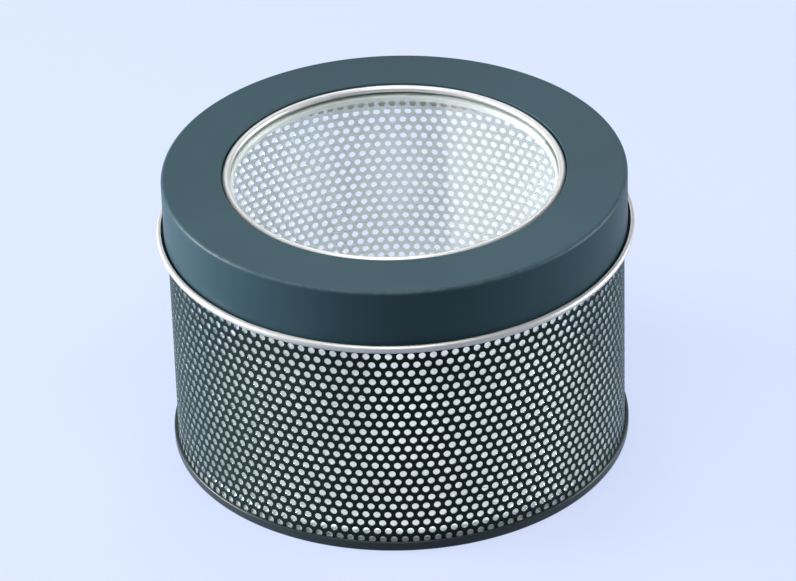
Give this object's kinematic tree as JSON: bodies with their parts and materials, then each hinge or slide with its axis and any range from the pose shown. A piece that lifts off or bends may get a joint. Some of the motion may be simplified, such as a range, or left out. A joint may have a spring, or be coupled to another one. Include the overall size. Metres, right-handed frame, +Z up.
{
  "type": "window lid tin",
  "caption": "Round metal tin with a finely perforated wall, a rolled bottom seam and a slip lid with a clear round window.",
  "frame": {"origin": "centre of the round base, in the plane that the tin stands on", "axes": "+Z up along the tin's axis, through the window; the front of the picture looks along +Y; the wall's lap lies 28 degrees from +X towards +Y"},
  "size_m": [0.1132, 0.1132, 0.0713],
  "materials": {
    "wall_lacquer": "satin black lacquer outside, bare tinplate inside",
    "base_lacquer": "satin black lacquer outside, bare tinplate inside",
    "lid_lacquer": "satin slate-black lacquer, bare tinplate at the rolled edges and inside",
    "clear_pane": "clear glossy plastic sheet",
    "bare_tinplate": "bright bare tinplate"
  },
  "bodies": {
    "tin_body": {"body_wall": "wall_lacquer", "base_end": "base_lacquer"},
    "lid": {"lid_shell": "lid_lacquer", "window_pane": "clear_pane", "retaining_ring": "bare_tinplate"}
  },
  "joints": [
    {"name": "lid_lift", "type": "slide", "parent": "tin_body", "child": "lid", "axis": [0, 0, 1], "range_m": [0, 0.06]}
  ]
}
